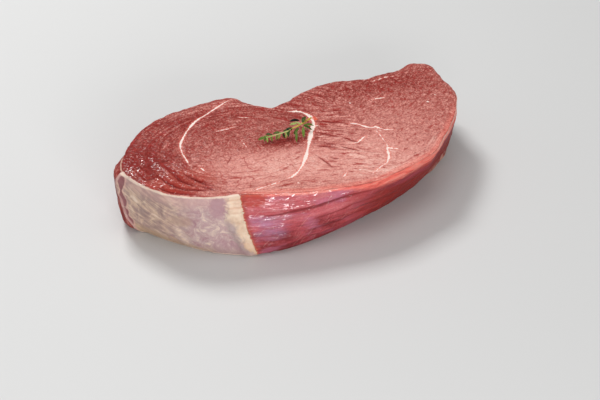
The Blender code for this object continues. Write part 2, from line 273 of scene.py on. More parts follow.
# folds and wrinkles of the cut face: points, depth of the valley, half width of its dark bottom,
# which is partly the meat's own dark red and partly painted shade
folds = {
    "frontA": ([(-87.2, -6.6), (-87, -12.9), (-86.1, -18.3), (-84, -22.4), (-81, -27.5)], 1.5,
        0.42),
    "frontB": ([(-95.2, -7.1), (-94.5, -13), (-93.2, -18.7), (-91.2, -24.1), (-85.8, -30.3)], 1.5,
        0.42),
    "frontC": ([(-81.9, -12.1), (-80, -18.9), (-77.1, -23.9), (-74, -28.4), (-70.7, -30.7)], 1.3,
        0.36),
    "frontD": ([(-79.2, -28.8), (-75.4, -31.6), (-73, -36)], 1.1, 0.3),
    "frontE": ([(-98.7, -20.1), (-98.7, -24.9)], 0.9, 0.28),
    "frontF": ([(-104.6, -8.1), (-99.6, -8.7), (-95.2, -7.1)], 0.9, 0.28),
    "frontG": ([(-105.2, 3.5), (-104.2, -1.9), (-103.6, -9.4)], 0.8, 0.26),
    "frontJ": ([(-100.9, -19.6), (-98.1, -24.6), (-93.1, -30.2), (-84.8, -35.1)], 1, 0.32),
    "frontK": ([(-80.5, -14.7), (-77.5, -22.1), (-72.7, -25.5)], 0.8, 0.26),
    "frontL": ([(-88.9, 1.7), (-87, -6.6), (-83.9, -12.4)], 0.8, 0.26),
    "frontM": ([(-90.8, -27.6), (-83.2, -31.3), (-74.5, -35.3)], 0.9, 0.28),
    "wrinkle1": ([(15.5, 12.9), (22.9, 9.8), (31.3, 4.9)], 0.6, 0.34),
    "wrinkle2": ([(10.2, 0.6), (14.3, -3.1), (18.8, -9)], 0.6, 0.3),
    "wrinkle3": ([(20.9, -9.2), (24, -14.4), (27.7, -20.3)], 0.6, 0.26),
    "wrinkle4": ([(7.6, -10.7), (10.9, -14.3), (14.5, -16.7)], 0.55, 0.24),
    "wrinkle5": ([(2.5, -13.3), (7.5, -16.5), (12.8, -20.6)], 0.6, 0.3),
    "wrinkle6": ([(15, -20.7), (19.1, -24.4), (23.1, -29.4)], 0.55, 0.24),
    "wrinkle7": ([(4.2, -28.9), (7.9, -31.6)], 0.4, 0.2),
    "wrinkle8": ([(-2.5, -24.9), (-0.8, -31.7), (0.2, -39.1)], 0.5, 0.2),
    "wrinkle11": ([(28.2, 21.6), (37.3, 19.1)], 0.5, 0.24),
    "crack1": ([(-49.3, -5.7), (-51.9, -9.5), (-55.5, -13.4)], 0.25, 0.12),
}
# furrows along the front wall: points as x and height, depth, half width
wallFurrows = {
    "underBand": ([(-58, 25.6), (-46, 25.2), (-34, 26), (-16, 26.8), (6, 29), (26, 28.5)], 1, 1),
    "middle": ([(-24, 18.2), (-10, 19.2), (5, 22), (22, 22.5)], 0.8, 1),
    "lower": ([(-44, 14.2), (-25, 11.4), (-8, 10), (10, 12.5), (34, 15)], 0.7, 1.2),
    "foot": ([(-30, 5.6), (-10, 4.6), (14, 6.4), (40, 8)], 0.6, 1.1),
}
# areas of the cut face: centre x and y, two half lengths, lighter (+) or darker (-)
tones = {
    # frontPink, rightPink and rightRim: lighter towards the front, partly the meat's own pink and
    # partly painted light
    "frontPink": (-34, -24, 44, 22, 0.65),
    "rightPink": (24, -37, 46, 22, 0.62),
    "rightRim": (34, -52, 40, 8, 0.28),
    "rightMiddle": (58, -2, 26, 24, 0.22),
    "leftMiddle": (-46, 20, 24, 18, -0.32),
    # farRight, farMiddle and farLeft: darker at the far side, partly the meat's own deeper red and
    # partly painted shade
    "farRight": (82, 40, 34, 20, -0.5),
    "farMiddle": (34, 42, 34, 12, -0.38),
    "notch": (-2, 30, 20, 14, -0.3),
    "farLeft": (-62, 42, 42, 14, -0.75),
    "leftEnd": (-101, 11, 22, 25, -1.6),
    "frontFolds": (-88, -22, 20, 12, -0.6),
    "besideSeam": (8, -26, 14, 14, -0.18),
    # painted shadow of the thyme sprig on the meat under it
    "thymeShadow": (-14, -2, 19, 8, -1.05),
}
# wrinkles across the fat strip: height up the wall, depth, half height
stripWrinkles = [(36.6, 0.75, 0.65), (34.2, 0.5, 0.55), (31.8, 0.85, 0.7), (28.4, 0.6, 0.7),
                 (22.5, 0.4, 0.9), (15, 0.45, 1), (9, 0.35, 1)]
# purple meat between the lip and the silverskin: y and z along each patch, half width
bruises = [([(3.2, 36), (3.4, 29), (2.7, 19)], 2.3),
           ([(2.8, 15.4), (1.6, 11), (0.4, 7)], 1.9)]
# lines up the front wall: heights, and where the line is at each of them
wallZones = {
    "skinLeftY": ([0, 6, 10, 17, 24, 27, 31, 36, 40],
                  [0, 1.3, 3.9, 4.9, 5.5, 7.4, 8.6, 6.7, 6]),
    "stripLeftX": ([0, 2.4, 6, 12, 19, 25, 30, 40],
                   [-61.5, -62.2, -64, -66.8, -69.2, -70.6, -70.2, -70.1]),
    "stripRightX": ([0, 4, 10, 17, 24, 32, 40],
                    [-54.5, -55.8, -58, -59.8, -61, -61.5, -62]),
}
# wet places: centre, two half lengths and how wet; on the cut face x and y, on the wall x and z
wetPlaces = {
    "bluntEnd": (-99, -2, 13, 17, 0.95),
    "besideFolds": (-86, -18, 11, 9, 0.35),
    "groove": (-43, 22.4, 12, 1.8, 1.6),
}
# lobes of the cut face: middle and squeeze of the left one, then the line that parts them
lobes = {
    "middle": (-38, 4), "squeeze": 0.75, "perTurn": 22,
    "partedAt": (14.6, 18), "partedAlong": (44.6, 60), "partedLong": 74.8,
}
fibreRuns = {"near": (0.9, 0.44), "far": (0.81, -0.59)}  # strokes right of the seam
skinRun = {"x": 0.7, "y": -0.71, "rise": 0.45}  # slant of the silverskin's streaks
# noise of the relief: size, seed and octaves; then heights of the relief
sliceNoise = {
    "strokes": ((9, 2.4, 1), 1, 2), "grain": (5, 2, 3), "wander": (6.5, 6, 2),
    "pleats": ((16, 2, 1), 3, 2), "lumps": ((3.6, 3.6, 4.2), 4, 2), "swell": ((26, 26, 6), 7, 1),
    "level": ((17, 17, 2.6), 5, 2), "upright": ((2.4, 2.4, 22), 8, 2),
}
sliceForm = {
    "subdivisions": 2, "rimRing": 14, "rimSharpness": 0.55, "inset": 0.01, "reachLimit": 10,
    "grain": 0.24, "strokes": 0.2, "rimWander": 0.6, "rimReach": 2.2, "seamDip": 0.15,
    "wallGrain": 0.2, "wallSwell": 0.75, "wallLevel": 0.52, "skinPleats": 0.3,
    "stripLumps": 0.6, "stripRaise": 0.35, "lipRidges": 0.35, "ridge": 0.45, "bruiseDip": 0.3,
}


def quadCopyOfSlice():
    # the slice's own mesh, back in quads, with the number of each ring up the wall
    work = bmesh.new()
    work.from_mesh(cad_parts["knuckle_slice"].data)
    bmesh.ops.remove_doubles(work, verts=work.verts, dist=2e-6)
    bmesh.ops.join_triangles(work, faces=work.faces, angle_face_threshold=math.radians(60),
                             angle_shape_threshold=math.radians(70))
    layer = work.verts.layers.float.new("ring")
    found = {vert: 0 for vert in work.verts if vert.co.z < 1e-6}
    front = list(found)
    while front:
        reached = []
        for vert in front:
            for edge in vert.link_edges:
                other = edge.other_vert(vert)
                if other not in found:
                    found[other] = found[vert] + 1
                    reached.append(other)
        front = reached
    for vert, ring in found.items():
        vert[layer] = ring
    rings = {}
    sharpness = work.edges.layers.float.new("crease_edge")
    for name, level in (("foot", 0), ("rim", sliceForm["rimRing"])):
        spots = []
        for edge in work.edges:
            if all(found[vert] == level for vert in edge.verts) and edge.calc_length() < 6 * mm:
                edge[sharpness] = sliceForm["rimSharpness"] if name == "rim" else 0
                a, b = (np.array(vert.co) / mm for vert in edge.verts)
                spots += [a + (b - a) * share for share in (0, 0.2, 0.4, 0.6, 0.8)]
        rings[name] = np.array(spots)
    mesh = bpy.data.meshes.new("knuckleSlice")
    work.to_mesh(mesh)
    work.free()
    return mesh, rings


def subdivided(mesh, levels):
    item = newObject(mesh.name, mesh)
    smooth = item.modifiers.new("smooth", "SUBSURF")
    smooth.levels = smooth.render_levels = levels
    fine = bpy.data.meshes.new_from_object(
        item.evaluated_get(bpy.context.evaluated_depsgraph_get()))
    item.modifiers.clear()
    item.data = fine
    return item


def readVectors(mesh, kind):
    flat = np.empty(len(mesh.vertices) * 3)
    mesh.vertices.foreach_get(kind, flat)
    return flat.reshape(-1, 3)


def nearestSpots(points, spots):
    tree = kdtree.KDTree(len(spots))
    for index, spot in enumerate(spots):
        tree.insert((spot[0], spot[1], 0), index)
    tree.balance()
    hits = [tree.find((p[0], p[1], 0)) for p in points]
    return np.array([hit[2] for hit in hits]), np.array([hit[1] for hit in hits])


def paint(mesh, name, values):
    layer = mesh.attributes.new(name, "FLOAT", "POINT")
    layer.data.foreach_set("value", np.ascontiguousarray(values, dtype=np.float32))


def buildSlice():
    mesh, rings = quadCopyOfSlice()
    item = subdivided(mesh, sliceForm["subdivisions"])
    item.name = "knuckleSlice"
    mesh = item.data
    points, normals = readVectors(mesh, "co") / mm, readVectors(mesh, "normal")
    x, y, z = points.T
    ring = np.empty(len(points))
    mesh.attributes["ring"].data.foreach_get("value", ring)

    rimGap, rimSpot = nearestSpots(points, rings["rim"])
    footGap, _ = nearestSpots(points, rings["foot"])
    rimZ = rings["rim"][rimSpot, 2]
    form = sliceForm
    onTop, onBase = ring > form["rimRing"], (ring < 0.01) & (z < 0.2)
    cut = np.where(onTop, rimGap, np.where(onBase, footGap, -np.minimum(rimZ - z, z)))
    face = onTop | onBase
    inTop = ease(0.3, 2.5, np.where(onTop, rimGap, 0))
    onWall = ~face

    # zones of the wall, as distances in millimetres inside each
    skinLeft, stripLeft, stripRight = (np.interp(z, *line) for line in wallZones.values())
    limit = form["reachLimit"]
    stripFromLeft = np.where(y < 12, np.clip(x - stripLeft, -limit, limit), -limit)
    stripFromRight = np.where(y < 12, np.clip(stripRight - x, -limit, limit), -limit)
    skin = np.minimum((stripLeft + stripRight) / 2 - x, skinLeft - y)
    skin = np.where((x > -50) | (y > 20), -limit, np.clip(skin, -limit, limit))
    lip = np.where(x < -90, np.clip(y - skinLeft, -limit, limit) * ease(34, 24, y), -limit)
    bruise = np.full(len(points), -3.0)
    for line, half in bruises:
        gap, _, share = lineDistance(y, z, line)
        width = half * (0.75 + 0.35 * np.sin(share * 9 + 1))
        bruise = np.where(x < -105, np.maximum(bruise, width - gap), bruise)

    # fat seams: signed distance, and half width that is nought away from them
    seamGap = np.full(len(points), 9.0)
    seamHalf = np.zeros(len(points))
    closest = np.full(len(points), 1e9)
    for line, width in fatSeams.values():
        gap, side, share = lineDistance(x, y, line)
        half = 0.5 * width * tapered(share, 0.08) * (
            1 + 0.35 * np.sin(share * 23 + width * 9))
        nearer = gap - half < closest
        closest = np.where(nearer, gap - half, closest)
        seamGap = np.where(nearer, gap * side, seamGap)
        seamHalf = np.where(nearer, half * ease(5, 3, gap), seamHalf)

    # folds: valleys with a soft shoulder beside them, and a thin dark line at the bottom that is
    # partly painted shade
    foldGap = np.full(len(points), 9.0)
    foldHalf = np.zeros(len(points))
    dip = np.zeros(len(points))
    for line, depth, half in folds.values():
        gap, side, share = lineDistance(x, y, line)
        ends, wide = tapered(share, 0.04), 0.75 + half
        valley = np.exp(-(gap / wide)**2) * ends
        shoulder = np.exp(-((gap - 2.3 * wide) / (1.2 * wide))**2) * ends
        dip += -depth * valley + 0.35 * depth * shoulder
        nearer = gap < np.abs(foldGap)
        foldGap = np.where(nearer, gap * side, foldGap)
        foldHalf = np.where(nearer, (1.35 * half + 0.1) * ends * ease(5, 3, gap), foldHalf)
    furrow = np.zeros(len(points))
    for line, depth, half in wallFurrows.values():
        gap, _, share = lineDistance(x, z, line)
        furrow += depth * tapered(share, 0.03) * (
            0.45 * np.exp(-((gap - 2.6 * half) / (1.4 * half))**2) - np.exp(-(gap / half)**2))
    furrow *= (y < 5) & onWall
    # where the wall colour gets a painted shade along the furrows
    groove = np.clip(-furrow, 0, 1)

    # tone: the meat's own lighter and darker areas, with painted light at the front, painted shade
    # at the far side and a painted shadow under the sprig
    tone = np.zeros(len(points))
    for *place, amount in tones.values():
        tone += amount * softSpot(x, y, place)

    # run of the meat fibres in the cut face: rings in the left lobe, level strokes on the right
    fromX, fromY = (x - lobes["middle"][0]) * lobes["squeeze"], y - lobes["middle"][1]
    turn, reach = np.arctan2(fromY, fromX) * lobes["perTurn"], np.hypot(fromX, fromY)
    (partX, partY), (alongX, alongY) = lobes["partedAt"], lobes["partedAlong"]
    pastLine = ((x - partX) * alongY - (y - partY) * alongX) / lobes["partedLong"]
    rightLobe = ease(0, 9, pastLine)

    # relief of the cut face: strokes along the fibres, grain, folds and seams
    strokesLeft = roughness("strokes", turn, reach, 0 * x)
    along, across = fibreRuns["near"]
    strokesRight = roughness("strokes", along * x - across * y, across * x + along * y, 0 * x)
    strokes = (1 - rightLobe) * strokesLeft + rightLobe * strokesRight
    grain = roughness("grain", points)
    wander = roughness("wander", points * [1, 1, 0.3])
    move = inTop * (form["grain"] * grain + form["strokes"] * strokes)
    move += ease(0.2, 2, np.where(onTop, rimGap, 0)) * dip
    seamFill = ease(0.6, -0.5, np.abs(seamGap) - seamHalf) * (seamHalf > 0.05)
    move -= np.where(onTop, form["seamDip"] * seamFill, 0)
    nearRim = np.exp(-(np.where(onTop, rimGap, rimZ - z) / form["rimReach"])**2) * ~onBase
    move += form["rimWander"] * wander * nearRim

    # relief of the wall: pleats, lumps, level furrows, ridges of the lip
    fade = ease(0, 3, z) * onWall * ease(0, 1.2, rimZ - z)
    slant = skinRun["x"] * x + skinRun["y"] * y
    pleats = roughness("pleats", slant, z + skinRun["rise"] * slant, 0 * x)
    lumps, level, swell, upright = (roughness(name, points)
                                    for name in ("lumps", "level", "swell", "upright"))
    onSkin = ease(-0.8, 0.8, skin)
    onStrip = ease(-3, 1.5, stripFromLeft) * ease(-0.6, 0.6, stripFromRight)
    onLip = ease(-0.5, 1, lip) * (1 - onSkin)
    onMuscle = np.clip(1 - onSkin - onStrip - onLip, 0, 1)
    wrinkle = sum(depth * np.exp(-((z + 0.25 * lumps - height) / half)**2)
                  for height, depth, half in stripWrinkles)
    leftSkin = ease(-80, -100, x)
    ridge = np.exp(-((lip + 0.6) / 1.1)**2) * (x < -98)
    move += fade * onSkin * form["skinPleats"] * pleats * (0.35 + 0.65 * leftSkin)
    move += fade * onStrip * (form["stripLumps"] * lumps + form["stripRaise"] - wrinkle)
    move += fade * onMuscle * (form["wallGrain"] * grain + form["wallLevel"] * level
                               + form["wallSwell"] * swell + furrow)
    move += fade * onLip * form["lipRidges"] * upright
    move += fade * (form["ridge"] * ridge - form["bruiseDip"] * ease(0, 0.8, bruise))
    points = points + normals * move[:, None]
    low, high = np.array(cadLow) / mm + form["inset"], np.array(cadHigh) / mm - form["inset"]
    points = np.clip(points, low, high)
    mesh.vertices.foreach_set("co", (points * mm).ravel())
    mesh.attributes.remove(mesh.attributes["ring"])

    # how wet: the blunt end of the cut face and the muscle wall next to the fat strip
    wet = np.zeros(len(points))
    for name in ("bluntEnd", "besideFolds"):
        *place, amount = wetPlaces[name]
        wet = np.maximum(wet, amount * softSpot(x, y, place))
    *place, amount = wetPlaces["groove"]
    wallWet = 1.4 * np.exp(-((x + 30) / 27)**2) * ease(25, 29, z - 0.1 * (x + 36))
    wallWet = np.maximum(wallWet, amount * softSpot(x, z, place))
    wallWet = np.maximum(wallWet, 0.06 + 0.2 * ease(20, -20, x) * ease(8, 22, z))
    wet = np.where(onTop, wet, np.where(y < 12, wallWet * onMuscle, 0.3 * onMuscle))
    # fibres stronger in the outer ring of the left lobe and beside the middle seam
    fibre = 0.24 + 0.12 * rightLobe + 0.42 * ease(24, 40, reach) * (1 - rightLobe)
    fibre += 0.55 * rightLobe * np.exp(-((x - 22) / 18)**2)
    fibre -= 0.12 * softSpot(x, y, (-30, -26, 34, 16))

    fields = {
        "cut": np.clip(cut, -12, 12), "depth": np.clip(rimZ - z, 0, 45), "skin": skin, "lip": lip,
        "stripFromLeft": stripFromLeft, "stripFromRight": stripFromRight, "bruise": bruise,
        "seamGap": np.clip(seamGap, -9, 9), "seamHalf": seamHalf,
        "foldGap": np.clip(foldGap, -9, 9), "foldHalf": foldHalf * onTop, "groove": groove,
        "wrinkle": wrinkle * onStrip, "tone": tone, "fibre": np.clip(fibre, 0.05, 1),
        "rightLobe": rightLobe, "along": turn, "across": reach, "wet": wet,
    }
    for name, values in fields.items():
        paint(mesh, name, values)
    mesh.shade_smooth()
    mesh.update()
    return item


# the slice: its colours and finish

meatColours = {
    "deep": (0.2, 0.012, 0.009), "fold": (0.35, 0.03, 0.025), "dark": (0.224, 0.029, 0.022),
    "middle": (0.425, 0.128, 0.105), "pink": (0.68, 0.285, 0.24), "pale": (0.86, 0.52, 0.44),
    "fat": (0.92, 0.78, 0.71), "orange": (0.9, 0.185, 0.135), "wallDark": (0.2, 0.024, 0.028),
    "wallRed": (0.46, 0.08, 0.094), "wallPink": (0.67, 0.198, 0.215),
    "rimDark": (0.5, 0.062, 0.05), "rimLight": (0.93, 0.42, 0.34),
    "skinGrey": (0.29, 0.195, 0.175), "skinMiddle": (0.41, 0.28, 0.235),
    "skinCream": (0.62, 0.435, 0.31), "skinLight": (0.76, 0.59, 0.47),
    "skinLilac": (0.385, 0.215, 0.245), "skinVeil": (0.5, 0.36, 0.345),
    "stripShade": (0.52, 0.34, 0.26), "stripCream": (0.67, 0.485, 0.355),
    "stripLight": (0.8, 0.64, 0.5), "lipRed": (0.3, 0.045, 0.036), "lipPale": (0.55, 0.2, 0.17),
}
# tints over the colour below them: colour or its name above, how strongly it covers
beefTints = {
    "cracks": ("fold", 0.75), "foldGlow": ((0.52, 0.088, 0.056), 0.38),
    "foldSides": ("fold", 0.75), "foldBottom": ("deep", 0.6), "foldCore": ("deep", 0.75),
    "specks": ("dark", 0.45), "flecks": ("pale", 0.35), "dots": ("fat", 0.8),
    "seamHalo": ("orange", 0.3), "seam": ("fat", 0.95), "rimPale": ("pale", 0.5),
    "rimDark": ("fold", 0.5), "redSpot": ((0.68, 0.095, 0.045), 0.75),
    "edgeGlow": ("orange", 0.35), "sheen": ((0.5, 0.175, 0.265), 0.55),
    "bluishSheen": ((0.42, 0.225, 0.36), 0.6), "scratches": ("pale", 0.26),
    "groove": ("wallDark", 0.82), "wallRightRedAndShade": ((0.31, 0.036, 0.026), 0.55),
    "wallShade": ((0.23, 0.018, 0.015), 0.55), "violetLine": ((0.3, 0.06, 0.095), 0.38),
    "corner": ((0.46, 0.052, 0.028), 0.8), "footShade": ("wallDark", 0.35),
    "scraps": ((0.6, 0.34, 0.26), 0.65), "paleRim": ("pale", 0.8),
    "fringe": ((0.36, 0.055, 0.042), 0.75), "stripGlow": ((0.62, 0.18, 0.1), 0.6),
    "whorls": ("skinLight", 0.28), "upperSkin": ((0.56, 0.345, 0.32), 0.6),
    "lowRight": ("skinLilac", 0.45), "violetPatch": ("skinLilac", 0.75),
    "tanPatch": ((0.4, 0.26, 0.19), 0.45), "yellowFoot": ((0.58, 0.385, 0.235), 0.7),
    "skinFootShade": ((0.3, 0.22, 0.175), 0.35), "bruiseRim": ((0.68, 0.4, 0.34), 0.6),
    "bruise": ((0.27, 0.098, 0.11), 0.9), "ridge": ((0.58, 0.34, 0.31), 0.7),
    "stripFoot": ((0.61, 0.375, 0.225), 0.55), "stripTop": ((0.82, 0.6, 0.47), 0.5),
    "stripCool": ((0.34, 0.252, 0.27), 0.8), "stripWrinkleShade": ((0.6, 0.33, 0.22), 0.5),
    "rimLine": ((0.86, 0.68, 0.56), 0.85), "lipLine": ((0.74, 0.5, 0.38), 0.7),
}
# places on the slice: two centres and two half lengths, along x and y or along x and z
beefPlaces = {
    "folds": (-87, -21, 24, 13), "redSpot": (15.9, 16.4, 1.7, 2.8),
    "bluishSheen": (-47.5, 18, 12, 6.5), "corner": (-56, 35.6, 11, 5),
    "litGroove": (-42, 23.4, 13, 1.9), "violetPatch": (-74.8, 32.5, 5.5, 7.5),
    "tanPatch": (-92.5, 21.5, 6, 4.5),
}
# noise: scale per millimetre, or one along each axis; then detail, roughness and twist
beefNoise = {
    "mottle": (0.3, 6, 0.66), "fine": (0.95, 2, 0.55), "crumb": (0.75, 2, 0.5),
    "ragged": (0.9, 4, 0.62), "broken": (0.16, 4, 0.6, 0.6), "veil": (0.16, 6, 0.62, 1.4),
    "ringStrokes": ((0.12, 0.46, 1), 3, 0.5, 0.8),
    "nearStrokes": ((0.14, 0.5, 1), 3, 0.5, 0.8),
    "farStrokes": ((0.24, 0.52, 1), 3, 0.5, 0.8),
    "whereCracked": (0.12, 2, 0.5), "whereCrackled": (0.25, 2, 0.5),
    "rimLines": (1, 4, 0.6, 0.3), "rimStreaks": (1, 4, 0.6, 0.6),
    "fibres": ((0.045, 0.045, 0.62), 6, 0.64, 0.5), "broad": ((0.045, 0.045, 0.18), 3),
    "slantFibres": (1, 3, 0.6, 0.4), "sheen": ((0.05, 0.05, 0.14), 3, 0.5),
    "scratches": ((0.05, 0.2, 1.3), 2, 0.5), "streaks": ((1.2, 0.4, 1), 4, 0.58, 0.8),
    "whorls": (0.2, 3, 0.6, 2.2), "strip": (0.2, 4, 0.55),
    "teeth": ((0.2, 0.2, 0.75), 3, 0.6), "lipStripes": ((0.42, 0.42, 0.06), 3),
    "pebble": (0.42, 1, 0.4), "fibreRuns": ((0.14, 0.5, 1), 1, 0.4, 0.5),
    "levelRuns": ((0.09, 0.09, 0.42), 1, 0.4, 0.4), "droplets": ((0.34, 0.56, 1), 1, 0.4),
    "ripples": ((0.15, 0.15, 0.5), 1, 0.5, 0.5), "filmPatches": (0.13, 2, 0.5),
    "glints": ((0.66, 0.95, 1), 1, 0.5), "wallFilm": ((0.22, 0.22, 0.55), 2, 0.5),
}
beefLook = {
    "middleTone": 0.55, "toneDepth": 0.36, "mottling": 0.45, "fineGrain": 0.75, "strokes": 1.5,
    "crackSize": 0.13, "crackleSize": 0.27, "dotSize": 0.075,
    "wallFibres": 0.55, "wallBroad": 1.2, "wallGrain": 0.5, "wallTone": 0.46,
    "wallLift": 0.235, "wallShadeByDepth": -0.015, "farWallShade": -0.55, "slantFibres": 1.1,
    "relief": 0.0009, "filmRelief": 0.0008, "dryFilm": 0.05,
    "filmRough": (0.2, 0.04), "filmDensity": (1.8, 2.00), "rough": (0.46, 0.6),
    "density": 1.36, "shine": 0.1, "seeThrough": 0.06,
    "seeThroughColour": (1, 0.35, 0.25), "seeThroughDepth": 0.0006,
}


def grain(name, vector=None):
    scale, *rest = beefNoise[name]
    vector = bench.p if vector is None else vector
    if isinstance(scale, tuple):
        return cloud(stretched(vector, *scale), 1, *rest)
    return cloud(vector, scale, *rest)


def frayed(value, amount):
    return scaled(bench.ragged, amount, value)


def within(name, first, second):
    # nought in the middle of a place and 1 at its edge
    centreFirst, centreSecond, halfFirst, halfSecond = beefPlaces[name]
    a = times(minus(first, centreFirst), 1 / halfFirst)
    b = times(minus(second, centreSecond), 1 / halfSecond)
    return calc("SQRT", scaled(a, a, times(b, b)))


def tinted(base, *tints):
    # each tint: its name, then the masks that bound it
    for name, share, *masks in tints:
        colour, strength = beefTints[name]
        for mask in masks:
            share = times(share, mask)
        base = mix(times(share, strength), base, meatColours.get(colour, colour))
    return base


def beefKit(mesh):
    # painted distances and noises that the functions below share
    names = [layer.name for layer in mesh.attributes if layer.data_type == "FLOAT"]
    p = startMaterial("rawBeef", meatColours)
    bench.ragged = minus(grain("ragged"), 0.5)
    kit = SimpleNamespace(**{name: painted(name) for name in names})
    x, y, z = kit.x, kit.y, kit.z = add("SeparateXYZ", {"Vector": p}).outputs
    kit.mottle, kit.fine, kit.broken = grain("mottle"), grain("fine"), grain("broken")
    kit.veil, kit.stripCloud, kit.lipStripes = grain("veil"), grain("strip"), grain("lipStripes")
    kit.ringRun = plane(kit.along, kit.across)
    kit.nearRun, kit.farRun = (
        plane(scaled(x, along, times(y, -across)), scaled(x, across, times(y, along)))
        for along, across in fibreRuns.values())
    kit.slant = scaled(x, skinRun["x"], times(y, skinRun["y"]))
    kit.streaks = grain("streaks", plane(times(kit.slant, 0.05),
                                         scaled(kit.slant, skinRun["rise"], z)))
    kit.leftward = band(frayed(x, 8), -84, -102, 0, 0.82)
    kit.onLip = band(kit.lip, -0.4, 0.4)
    kit.frontOnly = band(y, 0, -20)
    kit.corner = times(band(frayed(within("corner", x, z), 0.8), 1.1, 0.6), kit.frontOnly)
    kit.cutEdge = frayed(kit.cut, 0.9)
    kit.onCut = band(kit.cutEdge, -0.25, 0.25)
    return kit


def cutFaceColour(kit):
    # mottling, short dark strokes along the fibres, branching cracks, folds, pale flecks
    x, y, cut, tone, look = kit.x, kit.y, kit.cut, kit.tone, beefLook
    strokesRight = blend(band(frayed(x, 30), 30, 48), grain("nearStrokes", kit.nearRun),
                         grain("farStrokes", kit.farRun))
    strokes = blend(kit.rightLobe, grain("ringStrokes", kit.ringRun), strokesRight)
    noisy = around(kit.mottle, look["mottling"], around(kit.fine, look["fineGrain"], 0))
    noisy = around(strokes, times(kit.fibre, look["strokes"]), noisy)
    value = scaled(noisy, band(tone, -0.6, 0.6, 1.7, 0.65),
                   scaled(tone, look["toneDepth"], look["middleTone"]))
    meat = ramp(value, (0, "deep"), (1, "pale"), (0.26, "dark"), (0.52, "middle"), (0.76, "pink"))

    darkStrokes = times(band(strokes, 0.41, 0.34), band(kit.fibre, 0.05, 0.5, 0.25, 1))
    swirl = add("TexNoise", {"Vector": bench.p, "Scale": 0.13, "Detail": 3})
    shift = add("VectorMath", {0: swirl.outputs["Color"], 1: (9, 9, 0)}, operation="MULTIPLY")
    twisted = add("VectorMath", {0: bench.p, 1: shift.outputs[0]}, operation="ADD")

    def network(size):
        return add("TexVoronoi", {"Vector": twisted.outputs[0], "Scale": size},
                   feature="DISTANCE_TO_EDGE", voronoi_dimensions="2D").outputs["Distance"]

    cracks = times(band(network(look["crackSize"]), 0.05, 0.01),
                   band(grain("whereCracked"), 0.42, 0.54))
    cracks = times(cracks, scaled(kit.rightLobe, -0.5, 0.9))
    crackle = times(band(network(look["crackleSize"]), 0.1, 0.02),
                    band(grain("whereCrackled"), 0.38, 0.52))
    crackle = times(crackle, band(tone, 0.35, -0.2, 0.15, 1))
    kit.deepLines = calc("MAXIMUM", calc("MAXIMUM", darkStrokes, cracks), crackle)
    half = kit.foldHalf
    foldIn = minus(half, calc("ABSOLUTE", frayed(kit.foldGap, 1.3)))
    dots = add("TexVoronoi", {"Vector": bench.p, "Scale": look["dotSize"]})

    # fat seams with ragged edges and a faint orange halo, orange streaks at the front rim
    inside = minus(frayed(kit.seamHalf, 2.2), calc("ABSOLUTE", kit.seamGap))
    real = band(kit.seamHalf, 0.1, 0.3)
    rimLines = grain("rimLines", plane(times(x, 0.05), times(cut, 0.75)))
    nearFront = times(times(band(cut, 9, 4), band(y, -20, -34)), band(x, -70, -50))
    return tinted(
        meat, ("cracks", kit.deepLines),
        ("foldGlow", band(around(kit.mottle, 1.6, within("folds", x, y)), 1.2, 0.5)),
        # darker fold sides, bottoms and cores: partly the meat's dark red, partly painted shade in
        # the valleys
        ("foldSides", band(foldIn, -1.5, 0.1), band(half, 0.15, 0.55, 0.2, 1)),
        ("foldBottom", band(foldIn, -0.4, 0.05), band(half, 0.06, 0.2)),
        ("foldCore", band(foldIn, 0.02, 0.2), band(half, 0.25, 0.5)),
        ("specks", band(kit.fine, 0.36, 0.29)),
        ("flecks", band(grain("crumb"), 0.66, 0.74), band(tone, -0.9, -0.1, 0.08 / 0.35, 1)),
        ("dots", band(dots.outputs["Distance"], 0.07, 0.04)),
        ("seamHalo", band(inside, -1.5, 0), real), ("seam", band(inside, -0.1, 0.2), real),
        ("rimPale", band(rimLines, 0.5, 0.64), nearFront),
        ("rimDark", band(rimLines, 0.44, 0.34), nearFront),
        ("redSpot", band(frayed(within("redSpot", x, y), 0.8), 1.1, 0.6)),
        ("edgeGlow", band(cut, 5, 0.5), band(y, 10, -20), band(x, -66, -52)))


